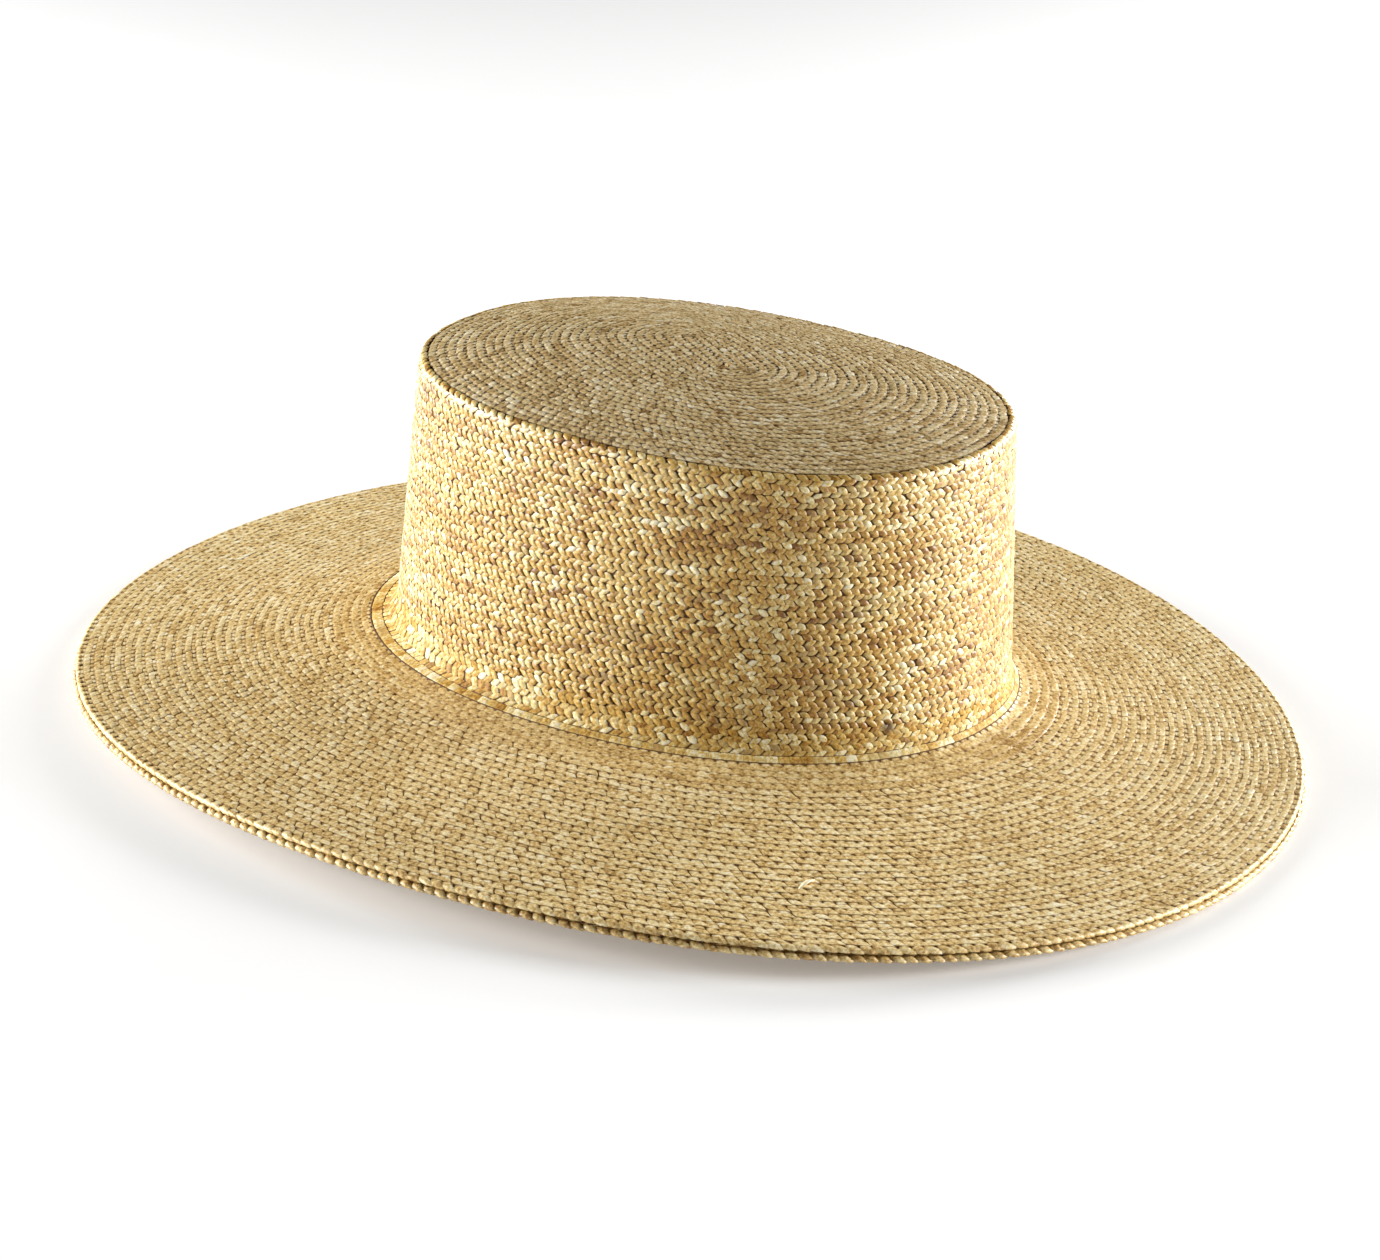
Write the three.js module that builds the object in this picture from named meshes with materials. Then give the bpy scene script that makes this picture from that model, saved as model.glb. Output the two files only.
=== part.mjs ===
// Boater hat of sewn straw plait: low domed oval tip, leaning crown wall, wide wavy brim
// and a doubled edge. Millimetres, +Z up, +Y along the hat's long axis. The origin is the
// middle of the rim, on the surface that the hat rests on.

import * as THREE from 'three';

// Outlines. Each is an oval |x/a|^n + |y/b|^n = 1, flatter on its long sides as n grows.
const TIP = { a: 74.5, b: 98.4, n: 2.2, z: 111.0 };
const CREASE = { a: 81.0, b: 105.1, n: 2.1, z: 21.9 };

// The tip is a low dome, level within a small share of its radius where its rows begin
const DOME = { rise: 8.6, level: 0.12 };

// The crown stands a little off the middle of the rim, so the brim is wider at one end.
const CROWN_OFF = { x: 2.5, y: -3.7 };

// Walls and joints
const STRAW = 2.0;
const GAP = 0.3;
const SHOULDER_RADIUS = 2.8;
const FOOT = { up: 8.0, out: 6.0 };

// Brim: its width from the crease, the height of its rim and the wave along the rim.
// It hangs a little more steeply beside the crown than out at the rim.
const BRIM_WIDTH = 99.6;
const RIM = { z: 6.8, wave: 5.3, turn: THREE.MathUtils.degToRad(7.9) };
const BRIM_HOLLOW = 0.3;

// Doubled edge: a second row of plait under the first. It is level for about 80 mm at
// each of the two dips of the wave, where the hat rests.
const EDGE = { width: 5.0, lip: 0.8, above: 2.0, below: 2.0, rest: 0.0 };

const AROUND = 80;
const SMALL = 1e-4;

const STRAW_LOOK = {
  tip: { color: 0xb8a274, roughness: 0.62, metalness: 0 },
  shoulder: { color: 0xc9ae78, roughness: 0.55, metalness: 0 },
  wall: { color: 0xd6b87c, roughness: 0.5, metalness: 0 },
  foot: { color: 0xd0b072, roughness: 0.52, metalness: 0 },
  brim: { color: 0xcbb07a, roughness: 0.55, metalness: 0 },
  edge: { color: 0xc0a068, roughness: 0.58, metalness: 0 },
};

const signedPower = (v, p) => Math.sign(v) * Math.abs(v) ** p;

// Point of an oval at an angle, and the direction straight out from it
function ovalPoint({ a, b, n }, angle) {
  const c = Math.cos(angle);
  const s = Math.sin(angle);
  const out = new THREE.Vector2(
    signedPower(c, 2 - 2 / n) / a,
    signedPower(s, 2 - 2 / n) / b,
  ).normalize();
  return {
    at: new THREE.Vector2(a * signedPower(c, 2 / n), b * signedPower(s, 2 / n)),
    out,
  };
}

// Oval of the crown at a height, between the crease and the tip
function crownOval(z) {
  const t = (z - CREASE.z) / (TIP.z - CREASE.z);
  const mix = (key) => THREE.MathUtils.lerp(CREASE[key], TIP[key], t);
  return { a: mix('a'), b: mix('b'), n: mix('n') };
}

// Point of the crown at a height, moved straight out from the oval by d
function crownPoint(angle, z, d = 0) {
  const { at, out } = ovalPoint(crownOval(z), angle);
  return new THREE.Vector3(
    at.x + out.x * d + CROWN_OFF.x,
    at.y + out.y * d + CROWN_OFF.y,
    z,
  );
}

// Point of the crown wall at a depth below the tip
const wallPoint = (angle, depth) => crownPoint(angle, TIP.z - depth);

// Height of the middle of the doubled edge, in a direction seen from the crown
function rimHeight(angle) {
  const { at, out } = ovalPoint(CREASE, angle);
  const rim = at.addScaledVector(out, BRIM_WIDTH);
  const direction = Math.atan2(rim.y, rim.x);
  return RIM.z + RIM.wave * Math.cos(2 * (direction - RIM.turn));
}

// Top of the brim at a distance d from the crease
function brimPoint(angle, d) {
  const { at, out } = ovalPoint(CREASE, angle);
  const t = Math.min(d / BRIM_WIDTH, 1);
  const fall = t * (1 + BRIM_HOLLOW * (1 - t));
  return new THREE.Vector3(
    at.x + out.x * d + CROWN_OFF.x * (1 - t),
    at.y + out.y * d + CROWN_OFF.y * (1 - t),
    THREE.MathUtils.lerp(CREASE.z, rimHeight(angle) + EDGE.above, fall),
  );
}

// Top of the rounded corner between tip and wall, from the tip (0) to the wall (1)
function shoulderPoint(angle, t) {
  const turn = (1 - t) * Math.PI / 2;
  const top = TIP.z - SHOULDER_RADIUS;
  const lean = crownPoint(angle, top, SHOULDER_RADIUS * (Math.cos(turn) - 1));
  lean.z = top + SHOULDER_RADIUS * Math.sin(turn);
  return lean;
}

// Top of the curve between wall and brim, from the wall (0) to the brim (1)
function footPoint(angle, t) {
  const curve = new THREE.QuadraticBezierCurve3(
    crownPoint(angle, CREASE.z + FOOT.up),
    crownPoint(angle, CREASE.z),
    brimPoint(angle, FOOT.out),
  );
  return curve.getPoint(t);
}

// Direction straight out of a surface given by point(angle, t), upward or outward
function outOf(point, angle, t) {
  const along = point(angle + SMALL, t).sub(point(angle - SMALL, t));
  const across = point(angle, t + SMALL).sub(point(angle, t - SMALL));
  return across.cross(along).normalize();
}

// Closed profile of a wall of straw: its top at each station, then its underside back
function wallProfile(point, stations) {
  return (angle) => {
    const top = stations.map((t) => point(angle, t));
    const under = stations.map((t, i) => (
      top[i].clone().addScaledVector(outOf(point, angle, t), -STRAW)
    ));
    return [...top, ...under.reverse()];
  };
}

// Profile of the second edge row: it follows the underside of the brim and is level below
function edgeProfile(angle) {
  const slant = outOf(brimPoint, angle, BRIM_WIDTH - EDGE.width / 2).z;
  const under = (d) => {
    const p = brimPoint(angle, d);
    p.z -= STRAW / slant + GAP;
    return p;
  };
  const level = Math.max(rimHeight(angle) - EDGE.below, EDGE.rest);
  const inner = under(BRIM_WIDTH - EDGE.width);
  const outer = under(BRIM_WIDTH);
  const lip = brimPoint(angle, BRIM_WIDTH + EDGE.lip);
  lip.z = (outer.z + level) / 2;
  const foot = brimPoint(angle, BRIM_WIDTH + EDGE.lip / 2);
  foot.z = level;
  const heel = inner.clone();
  heel.z = level;
  return [inner, outer, lip, foot, heel];
}

// Closed body through one profile at each angle around the hat
function ringGeometry(profile) {
  const rings = [];
  for (let i = 0; i < AROUND; i += 1) {
    rings.push(profile((i / AROUND) * 2 * Math.PI));
  }
  const size = rings[0].length;
  const index = [];
  for (let i = 0; i < AROUND; i += 1) {
    const next = ((i + 1) % AROUND) * size;
    for (let j = 0; j < size; j += 1) {
      const up = (j + 1) % size;
      index.push(i * size + j, i * size + up, next + up);
      index.push(i * size + j, next + up, next + j);
    }
  }
  const geometry = new THREE.BufferGeometry();
  geometry.setFromPoints(rings.flat());
  geometry.setIndex(index);
  geometry.computeVertexNormals();
  return geometry;
}

// Height of the tip's top, from its middle (0) to its edge (1)
const domeHeight = (share) => TIP.z + DOME.rise * (1 - Math.max(share, DOME.level) ** 2);

// Domed oval plate of the tip, inside the shoulder: a round plate drawn out to the oval
function tipGeometry() {
  const top = TIP_SHARES.map((share) => new THREE.Vector2(share, domeHeight(share)));
  const under = top.map((p) => new THREE.Vector2(p.x, p.y - STRAW));
  const plate = new THREE.LatheGeometry([...under, ...top.reverse()], AROUND);
  plate.rotateX(Math.PI / 2);
  const places = plate.getAttribute('position');
  for (let i = 0; i < places.count; i += 1) {
    const [x, y] = [places.getX(i), places.getY(i)];
    const share = Math.hypot(x, y);
    const edge = crownPoint(
      Math.atan2(y, x),
      TIP.z - SHOULDER_RADIUS,
      -SHOULDER_RADIUS - GAP,
    );
    places.setX(i, THREE.MathUtils.lerp(CROWN_OFF.x, edge.x, share));
    places.setY(i, THREE.MathUtils.lerp(CROWN_OFF.y, edge.y, share));
  }
  plate.computeVertexNormals();
  return plate;
}

function mesh(name, geometry, look) {
  const piece = new THREE.Mesh(geometry, new THREE.MeshStandardMaterial(look));
  piece.name = name;
  return piece;
}

// Shares, depths and distances at which each wall is measured
const TIP_SHARES = [0, DOME.level, 0.3, 0.5, 0.7, 0.85, 1];
const WALL_STATIONS = [
  SHOULDER_RADIUS + GAP,
  28,
  54,
  TIP.z - CREASE.z - FOOT.up - GAP,
];
const BRIM_STATIONS = [FOOT.out + GAP, 30, 54, 78, BRIM_WIDTH];
const SHOULDER_STATIONS = [0, 0.25, 0.5, 0.75, 1];
const FOOT_STATIONS = [0, 0.2, 0.4, 0.6, 0.8, 1];

const hat = new THREE.Group();
hat.name = 'boater_hat';
hat.add(
  mesh('crown_tip', tipGeometry(), STRAW_LOOK.tip),
  mesh(
    'crown_shoulder',
    ringGeometry(wallProfile(shoulderPoint, SHOULDER_STATIONS)),
    STRAW_LOOK.shoulder,
  ),
  mesh(
    'crown_wall',
    ringGeometry(wallProfile(wallPoint, WALL_STATIONS)),
    STRAW_LOOK.wall,
  ),
  mesh(
    'crown_foot',
    ringGeometry(wallProfile(footPoint, FOOT_STATIONS)),
    STRAW_LOOK.foot,
  ),
  mesh('brim', ringGeometry(wallProfile(brimPoint, BRIM_STATIONS)), STRAW_LOOK.brim),
  mesh('brim_edge_row', ringGeometry(edgeProfile), STRAW_LOOK.edge),
);

export default hat;
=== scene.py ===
"""Boater hat of sewn straw plait: its rows of folded straw, their finish, and a plain studio."""

import logging
import math
from dataclasses import dataclass, field
from enum import Enum
from typing import Callable

import bmesh
import bpy
import numpy as np
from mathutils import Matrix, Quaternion, Vector


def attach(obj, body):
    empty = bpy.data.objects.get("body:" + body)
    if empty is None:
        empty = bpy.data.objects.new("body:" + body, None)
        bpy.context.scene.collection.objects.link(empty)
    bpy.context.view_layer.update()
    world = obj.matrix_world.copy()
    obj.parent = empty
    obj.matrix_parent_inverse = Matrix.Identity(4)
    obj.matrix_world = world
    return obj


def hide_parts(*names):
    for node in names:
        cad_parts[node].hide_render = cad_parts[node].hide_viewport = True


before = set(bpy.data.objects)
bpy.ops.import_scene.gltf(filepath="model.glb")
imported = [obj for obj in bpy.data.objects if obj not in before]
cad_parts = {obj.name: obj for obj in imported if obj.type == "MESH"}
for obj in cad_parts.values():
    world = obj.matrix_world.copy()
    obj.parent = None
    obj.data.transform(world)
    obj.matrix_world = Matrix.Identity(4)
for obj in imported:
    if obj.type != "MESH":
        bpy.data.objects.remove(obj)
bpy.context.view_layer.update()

Array = np.ndarray
Face = Callable[[Array, Array], Array]

LOG = logging.getLogger("boater_hat")
MM = 0.001
BODY = "root"
FULL_TURN = 2 * math.pi

CORNERS = 4
CURVE_SAMPLES = 41
SLOPE_STEP = 0.002
MERGE_DISTANCE = 0.001
WHITE = (1.0, 1.0, 1.0, 1.0)

STRAW_SLOT = 0
LAYER_SLOT = 1
INSIDE_SLOT = 2


# Shape of the hat


def signed_power(value: Array, power: Array | float) -> Array:
    """Power of a number's size, with the number's own sign."""
    return np.sign(value) * np.abs(value) ** power


def unit(vectors: Array) -> Array:
    """The same directions, each one long."""
    return vectors / np.linalg.norm(vectors, axis=-1, keepdims=True)


def bent(first: Array, middle: Array, last: Array, share: Array) -> Array:
    """Points at a share of the smooth curve from first to last that leans to middle."""
    share = np.asarray(share)[..., None]
    return (1 - share) ** 2 * first + 2 * share * (1 - share) * middle + share**2 * last


@dataclass(frozen=True)
class Oval:
    """Oval |x/a|^n + |y/b|^n = 1 at a height, in millimetres."""

    width: float
    length: float
    fullness: float
    height: float


@dataclass(frozen=True)
class HatForm:
    """Outer faces of the hat's straw walls, in millimetres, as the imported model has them."""

    tip: Oval = Oval(74.5, 98.4, 2.2, 111.0)
    crease: Oval = Oval(81.0, 105.1, 2.1, 21.9)
    crown_shift: tuple[float, float] = (2.5, -3.7)
    straw: float = 2.0
    gap: float = 0.3
    shoulder_radius: float = 2.8
    foot_rise: float = 8.0
    foot_reach: float = 6.0
    brim_width: float = 99.6
    brim_hollow: float = 0.3
    rim_height: float = 6.8
    rim_wave: float = 5.3
    rim_turn: float = math.radians(7.9)
    edge_width: float = 5.0
    edge_lip: float = 0.8
    edge_above: float = 2.0
    edge_below: float = 2.0
    edge_tuck: float = 0.3
    edge_clear: float = 0.1
    edge_bulge: float = 2.0
    edge_run: float = 2.6
    dome_rise: float = 8.6
    button_half: float = 15.5
    button_turn: float = math.radians(37.5)
    button_shift: tuple[float, float] = (1.8, 3.6)
    button_ends: float = 4.0
    foot_row_shift: float = -0.23
    foot_row_lean: float = 3.12
    foot_row_side: float = math.radians(88.0)

    def crown(self, angle: Array, height: Array, out: Array | float = 0.0) -> Array:
        """Points of the crown.

        Args:
            angle: Angle of each point round the oval.
            height: Height of each point.
            out: How far each point is moved straight out of the oval.

        Returns:
            The points, in millimetres.
        """
        share = (height - self.crease.height) / (self.tip.height - self.crease.height)
        width = self.crease.width + (self.tip.width - self.crease.width) * share
        length = self.crease.length + (self.tip.length - self.crease.length) * share
        fullness = self.crease.fullness + (self.tip.fullness - self.crease.fullness) * share
        cos, sin = np.cos(angle), np.sin(angle)
        steep = 2 - 2 / fullness
        way = unit(
            np.stack([signed_power(cos, steep) / width, signed_power(sin, steep) / length], -1)
        )
        x = width * signed_power(cos, 2 / fullness) + way[..., 0] * out
        y = length * signed_power(sin, 2 / fullness) + way[..., 1] * out
        level = np.zeros_like(x) + height
        return np.stack([x + self.crown_shift[0], y + self.crown_shift[1], level], -1)

    def rim(self, angle: Array) -> Array:
        """Height of the middle of the doubled edge, which waves twice round the rim.

        Args:
            angle: Angle of each place round the oval.

        Returns:
            The height at each place, in millimetres.
        """
        at = self.crown(angle, np.float64(self.crease.height), self.brim_width)
        x, y = at[..., 0] - self.crown_shift[0], at[..., 1] - self.crown_shift[1]
        return self.rim_height + self.rim_wave * np.cos(2 * (np.arctan2(y, x) - self.rim_turn))

    def brim(self, angle: Array, reach: Array) -> Array:
        """Points of the brim's upper face.

        Args:
            angle: Angle of each point round the oval.
            reach: Reach of each point out from the crease.

        Returns:
            The points, in millimetres.
        """
        at = self.crown(angle, np.float64(self.crease.height), reach)
        share = np.minimum(reach / self.brim_width, 1.0)
        fall = share * (1 + self.brim_hollow * (1 - share))
        at[..., 0] -= self.crown_shift[0] * share
        at[..., 1] -= self.crown_shift[1] * share
        drop = self.rim(angle) + self.edge_above - self.crease.height
        at[..., 2] = self.crease.height + drop * fall
        return at

    def rolled_brim(self, angle: Array, reach: Array) -> Array:
        """Points of the brim's upper face, rolled over its rim on half its thickness.

        Args:
            angle: Angle of each point round the oval.
            reach: Reach of each point out from the crease, and on round the rim.

        Returns:
            The points, in millimetres.
        """
        radius = self.straw / 2
        start = self.brim_width - radius
        turn = np.clip((reach - start) / radius, 0.0, math.pi)
        back = np.maximum(reach - start - radius * math.pi, 0.0)
        at = self.brim(angle, np.minimum(reach, start) + radius * np.sin(turn) - back)
        at[..., 2] -= radius * (1 - np.cos(turn))
        return at

    def wall(self, angle: Array, depth: Array) -> Array:
        """Points of the crown wall, at a depth below the tip."""
        return self.crown(angle, self.tip.height - depth)

    def shoulder(self, angle: Array, run: Array) -> Array:
        """Points of the rounded corner between tip and wall.

        Args:
            angle: Angle of each point round the oval.
            run: Run of each point from the tip down to the wall.

        Returns:
            The points, in millimetres.
        """
        radius = self.shoulder_radius
        bend = np.clip(run / radius, 0.0, math.pi / 2)
        before = np.minimum(run, 0.0)
        after = np.maximum(run - radius * math.pi / 2, 0.0)
        top = self.tip.height - radius
        at = self.crown(angle, np.float64(top), radius * (np.sin(bend) - 1) + before)
        at[..., 2] = top + radius * np.cos(bend) - after
        return at

    def tip_face(self, angle: Array, reach: Array) -> Array:
        """Points of the domed tip.

        Args:
            angle: Angle of each point round the oval.
            reach: Reach of each point across the tip's short way, from its middle row.

        Returns:
            The points, in millimetres.
        """
        top = np.float64(self.tip.height - self.shoulder_radius)
        edge = self.crown(angle, top, -self.shoulder_radius - self.gap)
        x, y = edge[..., 0] - self.crown_shift[0], edge[..., 1] - self.crown_shift[1]
        share = reach / self.tip_reach
        way = (math.sin(self.button_turn), math.cos(self.button_turn))
        along = (x * way[0] + y * way[1]) / self.tip.length * self.button_ends
        along = self.button_half * np.clip(along, -1, 1)
        x = share * x + (1 - share) * (self.button_shift[0] + way[0] * along)
        y = share * y + (1 - share) * (self.button_shift[1] + way[1] * along)
        full = self.tip.fullness
        out = np.abs(x / self.tip_reach) ** full + np.abs(y / self.tip_end) ** full
        rise = self.dome_rise * np.clip(1 - out ** (2 / full), 0.0, 1.0)
        x, y = x + self.crown_shift[0], y + self.crown_shift[1]
        return np.stack([x, y, self.tip.height + rise], -1)

    @property
    def tip_reach(self) -> float:
        """Half the tip's width, inside the rounded corner."""
        return self.tip.width - self.shoulder_radius - self.gap

    @property
    def tip_end(self) -> float:
        """Half the tip's length, inside the rounded corner."""
        return self.tip.length - self.shoulder_radius - self.gap

    def foot(self, angle: Array, run: Array) -> Array:
        """Points of the curve from wall to brim.

        Args:
            angle: Angle of each point round the oval.
            run: Run of each point down from the wall, also a little past either end.

        Returns:
            The points, in millimetres.
        """
        share = run / self.foot_run
        inside = np.clip(share, 0.0, 1.0)
        even = np.interp(inside, self._foot_shares, np.linspace(0, 1, len(self._foot_shares)))
        return self._foot_curve(angle, even + (share - inside))

    def _foot_curve(self, angle: Array, share: Array) -> Array:
        """Points of the foot's curve.

        Args:
            angle: Angle of each point round the oval.
            share: Share of each point along the curve's own measure.

        Returns:
            The points, in millimetres.
        """
        first = self.crown(angle, np.float64(self.crease.height + self.foot_rise))
        middle = self.crown(angle, np.float64(self.crease.height))
        last = self.brim(angle, np.float64(self.foot_reach))
        return bent(first, middle, last, share)

    @property
    def _foot_steps(self) -> Array:
        """Lengths of short steps down the foot's curve."""
        points = self._foot_curve(np.zeros(CURVE_SAMPLES), np.linspace(0, 1, CURVE_SAMPLES))
        return np.linalg.norm(np.diff(points, axis=0), axis=1)

    @property
    def foot_run(self) -> float:
        """Length of the foot's curve."""
        return float(self._foot_steps.sum())

    @property
    def _foot_shares(self) -> Array:
        """Share of the foot's length reached after each short step."""
        steps = self._foot_steps
        return np.concatenate([[0.0], np.cumsum(steps)]) / steps.sum()

    def flare(self, angle: Array, run: Array) -> Array:
        """Points over the foot and out along the brim, by the run down from the wall.

        The rows beside the crown lie a little higher at one end, as they were sewn.

        Args:
            angle: Angle of each point round the oval.
            run: Run of each point from the wall's lower edge.

        Returns:
            The points, in millimetres.
        """
        brim_run = self.brim_width - self.foot_reach
        past = run - self.foot_run
        share = np.clip(1 - past / brim_run, 0.0, 1.0) ** 3
        share = np.where(past < 0, np.clip(run / self.foot_run, 0.0, 1.0), share)
        lean = self.foot_row_lean * np.cos(angle - self.foot_row_side)
        run = run + (self.foot_row_shift + lean) * share
        past = run - self.foot_run
        foot = self.foot(angle, np.minimum(run, self.foot_run))
        brim = self.rolled_brim(angle, self.foot_reach + np.maximum(past, 0.0))
        return np.where((past < 0)[..., None], foot, brim)

    def edge_level(self, angle: Array) -> Array:
        """Height of the level underside of the doubled edge."""
        return np.maximum(self.rim(angle) - self.edge_below, 0.0)

    def edge_side(self, angle: Array, run: Array) -> Array:
        """Points of the second row's outer side.

        Args:
            angle: Angle of each point round the oval.
            run: Run of each point down from the first row.

        Returns:
            The points, in millimetres.
        """
        width = np.float64(self.brim_width)
        first = self.brim(angle, width - self.edge_tuck)
        first[..., 2] -= self.straw + self.gap
        last = self.brim(angle, width + self.edge_lip / 4)
        last[..., 2] = self.edge_level(angle) + self.edge_clear
        middle = self.brim(angle, width + self.edge_bulge * self.edge_lip)
        middle[..., 2] = (first[..., 2] + last[..., 2]) / 2
        return bent(first, middle, last, run / self.edge_run)

    def edge_sole(self, angle: Array, run: Array) -> Array:
        """Points of the level underside of the second row.

        Args:
            angle: Angle of each point round the oval.
            run: Run of each point outwards from the row's inner edge.

        Returns:
            The points, in millimetres.
        """
        at = self.brim(angle, self.brim_width - self.edge_width + run)
        at[..., 2] = self.edge_level(angle)
        return at


@dataclass(frozen=True)
class Skin:
    """One face of a straw wall, with the height of a point measured straight out of it."""

    face: Face
    depth: float = 0.0
    facing: float = 1.0

    def normal(self, angle: Array, across: Array) -> Array:
        """Directions straight out of the wall's outer face.

        Args:
            angle: Angle of each point round the oval.
            across: Place of each point across the rows, in millimetres.

        Returns:
            One direction a point, each one long.
        """
        step = SLOPE_STEP
        along = self.face(angle + step, across) - self.face(angle - step, across)
        down = self.face(angle, across + step) - self.face(angle, across - step)
        return unit(np.cross(down, along))

    def at(self, angle: Array, across: Array, height: Array) -> Array:
        """Points over this face.

        Args:
            angle: Angle of each point round the oval.
            across: Place of each point across the rows, in millimetres.
            height: Height of each point over this face, in millimetres.

        Returns:
            The points, in millimetres.
        """
        rise = self.facing * height - self.depth
        return self.face(angle, across) + self.normal(angle, across) * rise[..., None]


class Track:
    """The middle line of one row, measured along its length."""

    samples = 720

    def __init__(self, skin: Skin, across: float) -> None:
        """Measures the closed line on a skin.

        Args:
            skin: The face that the row lies on.
            across: Place of the row across the rows, in millimetres.
        """
        self.angles = np.linspace(0, FULL_TURN, self.samples + 1)
        level = np.zeros_like(self.angles)
        points = skin.at(self.angles, level + across, level)
        steps = np.linalg.norm(np.diff(points, axis=0), axis=1)
        self.reach = np.concatenate([[0.0], np.cumsum(steps)])
        self.length = float(self.reach[-1])

    def angle(self, along: Array) -> Array:
        """Finds the angle round the oval at lengths along the row.

        Args:
            along: The lengths, in millimetres, also past a whole turn.

        Returns:
            The angle at each length.
        """
        turns = np.floor(along / self.length)
        part = along - turns * self.length
        return turns * FULL_TURN + np.interp(part, self.reach, self.angles)


# Plait


@dataclass(frozen=True)
class Patch:
    """A leaf's grid: its place in facet lengths and row widths, its rise, faces and map."""

    along: Array
    across: Array
    rise: Array
    faces: Array
    map: Array


@dataclass(frozen=True)
class Leaf:
    """One fold of straw between two crossings, a small curved patch on the plait.

    Centre, lean and length are in facet lengths, top, bottom, arch and slant in row widths,
    and crest and root are heights in millimetres. Columns and rows are where its grid lines
    lie, their rises run from 0 at the root to 1 at the crest, and slots say how far the
    columns' rises count from its first row to its last.
    """

    centre: float
    lean: float
    length: float
    top: float
    bottom: float
    crest: float
    root: float
    columns: tuple[float, ...]
    column_rise: tuple[float, ...]
    rows: tuple[float, ...]
    row_rise: tuple[float, ...]
    row_length: tuple[float, ...]
    slots: tuple[float, ...] = (1.0, 1.0)
    paler: float = 0.0
    arch: float = 0.0
    slant: float = 0.0

    def patch(self) -> Patch:
        """Shapes a flat grid into this leaf.

        Returns:
            The leaf's patch, with rise 0 at its root and 1 at its crest.
        """
        grid = bmesh.new()
        bmesh.ops.create_grid(
            grid,
            x_segments=len(self.columns) - 1,
            y_segments=len(self.rows) - 1,
            size=0.5,
        )
        flat = np.array([v.co[:] for v in grid.verts])
        faces = np.array([[v.index for v in f.verts] for f in grid.faces])
        grid.free()
        u = np.interp(flat[:, 0] + 0.5, np.linspace(0, 1, len(self.columns)), self.columns)
        v = np.interp(0.5 - flat[:, 1], np.linspace(0, 1, len(self.rows)), self.rows)
        slot = np.interp(v, np.linspace(0, 1, len(self.slots)), self.slots)
        side = 1 - slot * (1 - np.interp(u, self.columns, self.column_rise))
        rise = side * np.interp(v, self.rows, self.row_rise)
        spread = (u - 0.5) * self.length * np.interp(v, self.rows, self.row_length)
        bow = self.arch * (2 * u - 1) ** 2 * (1 - 2 * v)
        return Patch(
            along=self.centre + self.lean * (v - 0.5) + spread,
            across=self.top + (self.bottom - self.top) * v + bow + self.slant * (u - 0.5) * v,
            rise=rise,
            faces=faces,
            map=np.stack([u, 1 - v], -1),
        )


@dataclass(frozen=True)
class Plait:
    """A kind of plait: the leaves of one facet, and how unevenly they are drawn in.

    Shift and swing are in facet lengths, slip in row widths and lift in millimetres, for a
    plait whose uneven is 1.
    """

    leaves: tuple[Leaf, ...]
    uneven: float = 1.0
    shift: float = 0.045
    swing: float = 0.05
    slip: float = 0.04
    lift: float = 0.05


class Straws:
    """Seeded colours and unevenness of the straws, row after row."""

    run_length = 4
    run_weight = 1.5
    lone_shares = (0.8, 0.6)

    def __init__(self, seed: int, spread: float) -> None:
        """Starts the run of straws from a seed, with a spread of their colours."""
        self.draw = np.random.default_rng(seed)
        self.spread = spread

    def tones(self, count: int) -> Array:
        """Draws the look of each facet of a row.

        Args:
            count: How many facets the row has.

        Returns:
            One row a facet: how pale it is and how green or grey, each from 0 to 1.
        """
        kernel = np.hanning(self.run_length + 2)[1:-1]
        looks = []
        for share in self.lone_shares:
            lone = self.draw.standard_normal(count)
            wide = self.draw.standard_normal(count + self.run_length - 1)
            run = np.convolve(wide, kernel / np.linalg.norm(kernel), "valid")
            mixed = share * lone + (1 - share) * self.run_weight * run
            looks.append(0.5 + self.spread * mixed)
        return np.clip(np.stack(looks, -1), 0.0, 1.0)

    def uneven(self, count: int, amount: float) -> Array:
        """Small random steps, one a facet."""
        return self.draw.standard_normal(count) * amount


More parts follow.
